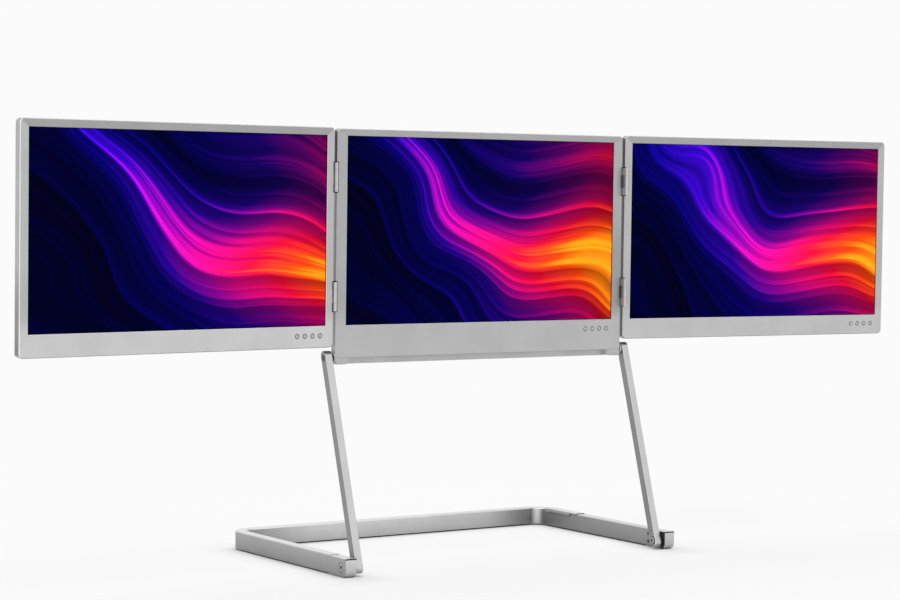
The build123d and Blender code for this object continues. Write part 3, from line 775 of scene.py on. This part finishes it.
caseTones = {
    # how much of the colour each mask of the bezel leaves: the seams are dark joints, the notches and gaps
    # get painted shade, the rest painted light and shade
    "shared": {"Seam": 0.7, "Notch": 0.04, "Upper Gap": 0.22, "Lower Gap": 0.4, "Foot Bevel": 0.55},
    "center": {"Strip": 0.8, "Side": 0.86, "Foot": 1.0, "Left Bevel": 1.15},
    "left": {"Strip": 0.75, "Side": 1.02, "Foot": 1.27, "Left Bevel": 1.9},
    "right": {"Strip": 0.76, "Side": 0.97, "Foot": 1.1, "Left Bevel": 1.15},
}
sideShades = {
    # painted shade: from this height to this one, measured from the middle of the picture, and from this
    # tone to this one
    "outerWall": (-0.11, -0.03, 0.42, 1.0),
    "nearWing": (-0.03, 0.03, 0.82, 1.02),
    "wallFacing": -0.85,  # part of the normal to the right, below which a face is the outer wall
}
hingedSides = {
    # left and right: how deep the shade of the lower gap is, or 0 where there is no hinge
    "center": (0.15, 1.0),
    "left": (0.0, 0.15),
    "right": (1.0, 0.0),
}


def outerWallShade(tree, place, normal):
    # Painted shade on the left wing's outer wall, darker towards its foot.
    parts = splitVector(tree, place)
    facesLeft = isBelow(tree, splitVector(tree, normal)[0], sideShades["wallFacing"])
    mask = multiplied(tree, facesLeft, isBelow(tree, parts[0], 0.0))
    return whereMasked(tree, mask, spread(tree, parts[2], *sideShades["outerWall"]))


def nearWingShade(tree, place, side):
    # Painted shade on the centre bezel beside the right wing, within the mask of the bezel's sides, darker
    # towards its foot.
    parts = splitVector(tree, place)
    mask = multiplied(tree, side, isAbove(tree, parts[0], 0.0))
    return whereMasked(tree, mask, spread(tree, parts[2], *sideShades["nearWing"], smooth=True))


def bezelMasks(tree, screenName, place, normal):
    screen = screenValues[screenName]
    left, right = hingedSides[screenName]
    measures = {
        "Vector": place,
        "Normal": normal,
        "Half Width": pictureWidth / 2 + screen["sideBorder"],
        "Top": screen["top"] - pictureMiddle,
        "Side Border": screen["sideBorder"],
        "Top Border": screen["top"] - pictureTop,
        "Left Hinged": left,
        "Right Hinged": right,
    }
    for label, height in screenValues["hingeHeights"].items():
        measures[label] = height - pictureMiddle
    return placeGroup(tree, bezelJoints, measures)


# A case's satin metal, with painted light and shade on its bezel, in its notches and gaps, and the seams'
# dark lines.
def caseMetal(name, screenName):
    values = metalValues["case"]
    material, tree, shader = newMaterial(name)
    place = straightCoordinates(tree, screenName)
    normal = surfaceNormal(tree)
    tone, height = placeGrain(tree, satinGrain, place, values["depth"])
    level = toneLevel(tree, tone, values["colour"])
    masks = bezelMasks(tree, screenName, place, normal)
    for label, maskTone in (caseTones["shared"] | caseTones[screenName]).items():
        level = multiplied(tree, level, whereMasked(tree, masks[label], maskTone))
    if screenName == "left":
        level = multiplied(tree, level, outerWallShade(tree, place, normal))
    if screenName == "center":
        level = multiplied(tree, level, nearWingShade(tree, place, masks["Side"]))
    finishMetal(tree, shader, values, tone, height, level)
    return material


# Plastics and rubber

plasticValues = {
    "depth": 0.08,
    "bump": 0.00001,
    "levelSwing": 0.4,  # what a full tone of the grain adds or takes away
    "roughSwing": 0.15,
}


def plastic(name, colour, rough):
    values = plasticValues
    material, tree, shader = newMaterial(name)
    tone, height = placeGrain(tree, satinGrain, objectCoordinates(tree), values["depth"])
    dark = (*(channel * (1 - values["levelSwing"]) for channel in colour), 1)
    light = (*(channel * (1 + values["levelSwing"]) for channel in colour), 1)
    mixed = mixNode(tree, "RGBA", spread(tree, tone, *toneRange), dark, light)
    connect(tree, shader.inputs["Base Color"], mixed)
    swing = values["roughSwing"]
    connect(tree, shader.inputs["Roughness"], spread(tree, tone, *toneRange, rough + swing, rough - swing))
    addBump(tree, shader, height, values["bump"])
    return material


materials = {
    "bentBar": bentBarMetal("bentBarBrushed"),
    "sideBar": brushedMetal("sideBarBrushed", brushAngles["base"], barLevel),
    "arm": brushedMetal("armBrushed", brushAngles["arm"], armLevel),
    "catch": brushedMetal("catchBrushed", brushAngles["base"], catchLevel),
    "centerCase": caseMetal("centerCaseSatin", "center"),
    "leftCase": caseMetal("leftCaseSatin", "left"),
    "rightCase": caseMetal("rightCaseSatin", "right"),
    "rail": satinMetal("railSatin", "case"),
    "cover": satinMetal("coverSatin", "cover"),
    "hinge": satinMetal("hingeSteel", "hinge"),
    "pin": satinMetal("pinSteel", "pin"),
    "darkPin": satinMetal("darkPinSteel", "darkPin"),
    "socket": satinMetal("socketSteel", "socket"),
    "contact": satinMetal("contactMetal", "contact"),
    "button": satinMetal("buttonFaceMetal", "button"),
    "buttonRim": satinMetal("buttonRimMetal", "buttonRim"),
    "washer": plastic("washerNylon", (0.03, 0.03, 0.03), 0.5),
    "rubber": plastic("footRubber", (0.018, 0.018, 0.018), 0.75),
    "tray": plastic("trayPlastic", (0.8, 0.8, 0.8), 0.5),
    "speaker": plastic("speakerPlastic", (0.03, 0.03, 0.03), 0.55),
    "tongue": plastic("tonguePlastic", (0.02, 0.02, 0.02), 0.4),
    "mesh": plastic("ventMeshSteel", (0.04, 0.04, 0.04), 0.5),
    "board": plastic("boardGreen", (0.02, 0.12, 0.05), 0.4),
}

# Lit pictures

pictureValues = {
    "glassColour": 0.0003,
    "rough": 0.3,
    "specular": 0.006,
    "screens": {
        "center": {"Drift": 0.35, "Warmth": 0.28},
        "left": {"Drift": 1.6, "Warmth": 0.18},
        "right": {"Drift": 2.9, "Warmth": 0.2},
    },
}


def picture(name, values):
    material, tree, shader = newMaterial(name + "Picture")
    parts = splitVector(tree, straightCoordinates(tree, name))
    across = mathNode(tree, "DIVIDE", parts[0], pictureWidth)
    up = mathNode(tree, "DIVIDE", parts[2], pictureWidth)
    spot = addNode(tree, "ShaderNodeCombineXYZ", {0: across, 1: up}).outputs[0]
    light = placeGroup(tree, flowingLight, {"Vector": spot, **values["screens"][name]})
    withinWidth = isBelow(tree, absolute(tree, parts[0]), pictureWidth / 2)
    withinHeight = isBelow(tree, absolute(tree, parts[2]), pictureHeight / 2)
    lit = mixNode(tree, "RGBA", multiplied(tree, withinWidth, withinHeight), grey(0), light["Color"])
    connect(tree, shader.inputs["Emission Color"], lit)
    shader.inputs["Emission Strength"].default_value = 1
    shader.inputs["Base Color"].default_value = grey(values["glassColour"])
    shader.inputs["Roughness"].default_value = values["rough"]
    shader.inputs["Specular IOR Level"].default_value = values["specular"]
    return material


pictures = {name: picture(name, pictureValues) for name in screenNames}
print("materials made")

# Finishes on the frame's nodes

nodeFinish = {
    "bentBar": ["base_frame"],
    "sideBar": ["hinge_block_left", "hinge_block_right"],
    "catch": ["catch_strip_left", "catch_strip_right"],
    "arm": ["arm_left", "arm_right"],
    "rail": ["bottom_rail", "tilt_bracket_left", "tilt_bracket_right"],
    "pin": ["fold_pins", "wing_hinge_pins"],
    "darkPin": ["tilt_pins", "base_screws"],
    "washer": ["fold_washers", "tilt_washers"],
    "rubber": ["block_bumpers", "foot_pad_left", "foot_pad_right", "foot_pad_rear"],
    "hinge": ["center_hinges_left", "center_hinges_right", "left_hinge_leaves", "right_hinge_leaves"],
}
screenFinish = {
    "cover": ["rear_cover"],
    "tray": ["backlight_tray"],
    "board": ["control_board"],
    "socket": ["sockets"],
    "speaker": ["speakers"],
    "button": ["button_1", "button_2", "button_3", "button_4"],
}


def finish(node, material):
    mesh = cadNodes[node].data
    mesh.materials.clear()
    mesh.materials.append(material)


for finishName, nodeNames in nodeFinish.items():
    for nodeName in nodeNames:
        finish(nodeName, materials[finishName])
for screenName in screenNames:
    finish(f"{screenName}_display", pictures[screenName])
    finish(f"{screenName}_frame", materials[f"{screenName}Case"])
    for finishName, partNames in screenFinish.items():
        for partName in partNames:
            finish(f"{screenName}_{partName}", materials[finishName])
print("finishes set")

# Tools for the added pieces

smoothUnder = 35  # degrees between two faces, up to which their edge is shaded round


def addPrimitive(kind, name, place, turn=(0, 0, 0), scale=(1, 1, 1), **sizes):
    bpy.ops.object.select_all(action="DESELECT")
    getattr(bpy.ops.mesh, f"primitive_{kind}_add")(location=place, rotation=turn, **sizes)
    piece = bpy.context.object
    piece.name = name
    piece.scale = scale
    bpy.ops.object.transform_apply(location=True, rotation=True, scale=True)
    return piece


def pickFaces(piece, test):
    bpy.ops.object.mode_set(mode="EDIT")
    bpy.ops.mesh.select_mode(type="FACE")
    bpy.ops.mesh.select_all(action="DESELECT")
    bpy.ops.object.mode_set(mode="OBJECT")
    for face in piece.data.polygons:
        face.select = test(face)
    bpy.ops.object.mode_set(mode="EDIT")


def paintPicked(piece, material):
    if material.name not in piece.data.materials:
        piece.data.materials.append(material)
    piece.active_material_index = piece.data.materials.find(material.name)
    bpy.ops.object.material_slot_assign()


def addModifier(piece, kind, **settings):
    bpy.ops.object.select_all(action="DESELECT")
    piece.select_set(True)
    bpy.context.view_layer.objects.active = piece
    modifier = piece.modifiers.new(kind.lower(), kind)
    for key, value in settings.items():
        setattr(modifier, key, value)
    bpy.ops.object.modifier_apply(modifier=modifier.name)


def joinPieces(pieces):
    bpy.ops.object.select_all(action="DESELECT")
    for piece in pieces:
        piece.select_set(True)
    bpy.context.view_layer.objects.active = pieces[0]
    bpy.ops.object.join()
    return pieces[0]


def copyPiece(model, name, matrix, body):
    piece = bpy.data.objects.new(name, model.data.copy())
    scene.collection.objects.link(piece)
    piece.data.transform(matrix)
    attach(piece, body)
    return piece


def onScreen(name, across, depth, height):
    # A place given from the screen's middle, front and bottom edge, as it stands.
    values = screenValues[name]
    spot = Vector((values["middle"] + across, screenValues["front"] + depth, values["bottom"] + height))
    return straightToPlace(name) @ Matrix.Translation(spot)


# Buttons

buttonValues = {
    "radius": 0.0025,
    "sides": 40,
    "proud": 0.00025,
    "reach": 0.00125,  # how far the cap goes in behind the case's front
    "edge": 0.0001,  # widths, from the cap's edge inwards
    "rim": 0.00055,  # the dark ring
    "grooveWall": 0.00015,
    "dishWall": 0.0007,
    "groove": 0.00015,  # depths
    "dish": 0.0001,
    "flange": (0.0064, 0.0005, 0.0064),
    "flangeBevel": {"width": 0.00015, "segments": 2},
    "count": 4,
    "pitch": 0.0096,
    "inset": 0.0065,  # from the picture's right edge
    "drop": 0.0106,  # below the picture
}


def modelCap(values):
    middle = (values["reach"] - values["proud"]) / 2
    cap = addPrimitive(
        "cylinder", "buttonCap", (0, middle, 0), (pi / 2, 0, 0),
        vertices=values["sides"], radius=values["radius"], depth=values["proud"] + values["reach"],
    )
    cap.data.materials.append(materials["button"])
    pickFaces(cap, lambda face: face.normal.y < -mostlyFacing)
    bpy.ops.mesh.inset(thickness=values["edge"])
    paintPicked(cap, materials["buttonRim"])
    bpy.ops.mesh.inset(thickness=values["rim"])
    bpy.ops.transform.translate(value=(0, values["groove"], 0))
    paintPicked(cap, materials["button"])
    bpy.ops.mesh.inset(thickness=values["grooveWall"])
    bpy.ops.transform.translate(value=(0, -values["groove"], 0))
    bpy.ops.mesh.inset(thickness=values["dishWall"])
    bpy.ops.transform.translate(value=(0, values["dish"], 0))
    bpy.ops.object.mode_set(mode="OBJECT")
    return cap


def modelButton(values):
    # Made round the origin, with the case's front at y = 0.
    cap = modelCap(values)
    flangeMiddle = values["reach"] + values["flange"][1] / 2
    flange = addPrimitive("cube", "buttonFlange", (0, flangeMiddle, 0), scale=values["flange"], size=1)
    flange.data.materials.append(materials["button"])
    addModifier(flange, "BEVEL", **values["flangeBevel"])
    button = joinPieces([cap, flange])
    bpy.ops.object.shade_smooth_by_angle(angle=radians(smoothUnder))
    return button


def addButtons(values):
    model = modelButton(values)
    for screenName in screenNames:
        height = screenValues["pictureBottom"] - values["drop"] - screenValues[screenName]["bottom"]
        for number in range(1, values["count"] + 1):
            fromRight = values["inset"] + values["pitch"] * (values["count"] - number)
            place = onScreen(screenName, pictureWidth / 2 - fromRight, 0, height)
            node = f"{screenName}_button_{number}"
            piece = copyPiece(model, f"{screenName}ButtonCap{number}", place, node + "_key")
            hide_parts(node)
    bpy.data.objects.remove(model)


addButtons(buttonValues)

# Screws that hold each rear cover to its two posts

coverScrewValues = {
    "radius": 0.0019,
    "sides": 40,
    "proud": 0.0004,
    "sunk": 0.0006,
    "bevel": {"width": 0.00018, "segments": 3},
    "sharpFrom": 50,  # degrees, past which an edge is bevelled
    "recess": 0.0003,
    "crossLength": 0.0022,
    "crossWidth": 0.0005,
    "height": 0.016,  # above the case's bottom edge
    "inset": {"center": 0.00575, "left": 0.00425, "right": 0.00425},
}


def modelCoverScrew(values):
    # Made round the origin, with the cover's outside at y = 0 and the head facing +Y.
    middle = (values["proud"] - values["sunk"]) / 2
    head = addPrimitive(
        "cylinder", "screwHead", (0, middle, 0), (-pi / 2, 0, 0),
        vertices=values["sides"], radius=values["radius"], depth=values["proud"] + values["sunk"],
    )
    sharp = {"limit_method": "ANGLE", "angle_limit": radians(values["sharpFrom"])}
    addModifier(head, "BEVEL", **values["bevel"], **sharp)
    size = (values["crossLength"], values["recess"] * 2, values["crossWidth"])
    place = (0, values["proud"], 0)
    bars = [addPrimitive("cube", "screwCross", place, (0, turn, 0), size, size=1) for turn in (0, pi / 2)]
    for bar in bars:
        addModifier(head, "BOOLEAN", operation="DIFFERENCE", object=bar, solver="EXACT")
        bpy.data.objects.remove(bar)
    head.data.materials.append(materials["pin"])
    bpy.ops.object.shade_smooth_by_angle(angle=radians(smoothUnder))
    return head


def addCoverScrews(values):
    model = modelCoverScrew(values)
    thickness = screenValues["back"] - screenValues["front"]
    for screenName in screenNames:
        halfWidth = pictureWidth / 2 + screenValues[screenName]["sideBorder"]
        for sideName, side in (("Left", -1), ("Right", 1)):
            across = side * (halfWidth - values["inset"][screenName])
            place = onScreen(screenName, across, thickness, values["height"])
            name = f"{screenName}CoverScrew{sideName}"
            copyPiece(model, name, place, f"{screenName}_screen")
    bpy.data.objects.remove(model)


addCoverScrews(coverScrewValues)

# Woven mesh behind the vent slots

ventMeshValues = {
    "width": 0.0624,
    "height": 0.0125,
    "cells": (60, 12),
    "wire": 0.0003,
    "depth": 0.0068,  # behind the case's front
    "drop": 0.0385,  # below the case's top edge
}


def addVentMeshes(values):
    columns, rows = values["cells"]
    model = addPrimitive(
        "grid", "ventMesh", (0, 0, 0), (pi / 2, 0, 0), (values["width"], values["height"], 1),
        size=1, x_subdivisions=columns, y_subdivisions=rows,
    )
    addModifier(model, "WIREFRAME", thickness=values["wire"])
    model.data.materials.append(materials["mesh"])
    for screenName in screenNames:
        screen = screenValues[screenName]
        place = onScreen(screenName, 0, values["depth"], screen["top"] - screen["bottom"] - values["drop"])
        copyPiece(model, f"{screenName}VentMesh", place, f"{screenName}_screen")
    bpy.data.objects.remove(model)


addVentMeshes(ventMeshValues)

# Tongues inside the sockets

tongueValues = {
    "thickness": 0.0007,
    "bevel": {"width": 0.00018, "segments": 2},
    "widths": (0.0086, 0.0064, 0.0064),  # the wide socket's, then those of the two oval ones
    "wingLength": 0.0046,
    "centerLength": 0.0026,
    "root": 0.0064,  # where a wing's tongue starts, above the case's bottom edge
    "centerRoot": 0.0050,  # where a centre tongue starts, behind the case's front
    "middleDepth": 0.0040,
    "centerHeight": 0.0234,
    "first": 0.058,  # from the picture's right edge
    "pitch": 0.017,
    "contacts": 6,
    "contactRow": 0.8,  # share of the tongue's width that the contacts take
    "contactWidth": 0.5,  # share of the step from one to the next
    "contactLength": 0.7,  # share of the tongue's length
    "contactProud": 0.00005,
    "contactBevel": {"width": 0.00004, "segments": 1},
}


def modelTongue(values, width, length):
    # Made round the origin, reaching along -Z from its root.
    middle = -length / 2
    size = (width, values["thickness"], length)
    tongue = addPrimitive("cube", "tongue", (0, 0, middle), scale=size, size=1)
    addModifier(tongue, "BEVEL", **values["bevel"])
    tongue.data.materials.append(materials["tongue"])
    pieces = [tongue]
    step = width * values["contactRow"] / values["contacts"]
    contactSize = (
        step * values["contactWidth"],
        values["thickness"] + 2 * values["contactProud"],
        length * values["contactLength"],
    )
    for index in range(values["contacts"]):
        across = (index - (values["contacts"] - 1) / 2) * step
        contact = addPrimitive("cube", "contact", (across, 0, middle), scale=contactSize, size=1)
        addModifier(contact, "BEVEL", **values["contactBevel"])
        contact.data.materials.append(materials["contact"])
        pieces.append(contact)
    return joinPieces(pieces)


def addTongues(values):
    for screenName in screenNames:
        atCentre = screenName == "center"
        length = values["centerLength"] if atCentre else values["wingLength"]
        for index, width in enumerate(values["widths"]):
            model = modelTongue(values, width, length)
            across = pictureWidth / 2 - values["first"] - values["pitch"] * index
            if atCentre:
                place = onScreen(screenName, across, values["centerRoot"], values["centerHeight"])
                place = place @ Matrix.Rotation(radians(90), 4, "X")
            else:
                place = onScreen(screenName, across, values["middleDepth"], values["root"])
            name = f"{screenName}SocketTongue{index + 1}"
            copyPiece(model, name, place, f"{screenName}_screen")
            bpy.data.objects.remove(model)


addTongues(tongueValues)
print("buttons, cover screws, vent meshes and socket tongues made")
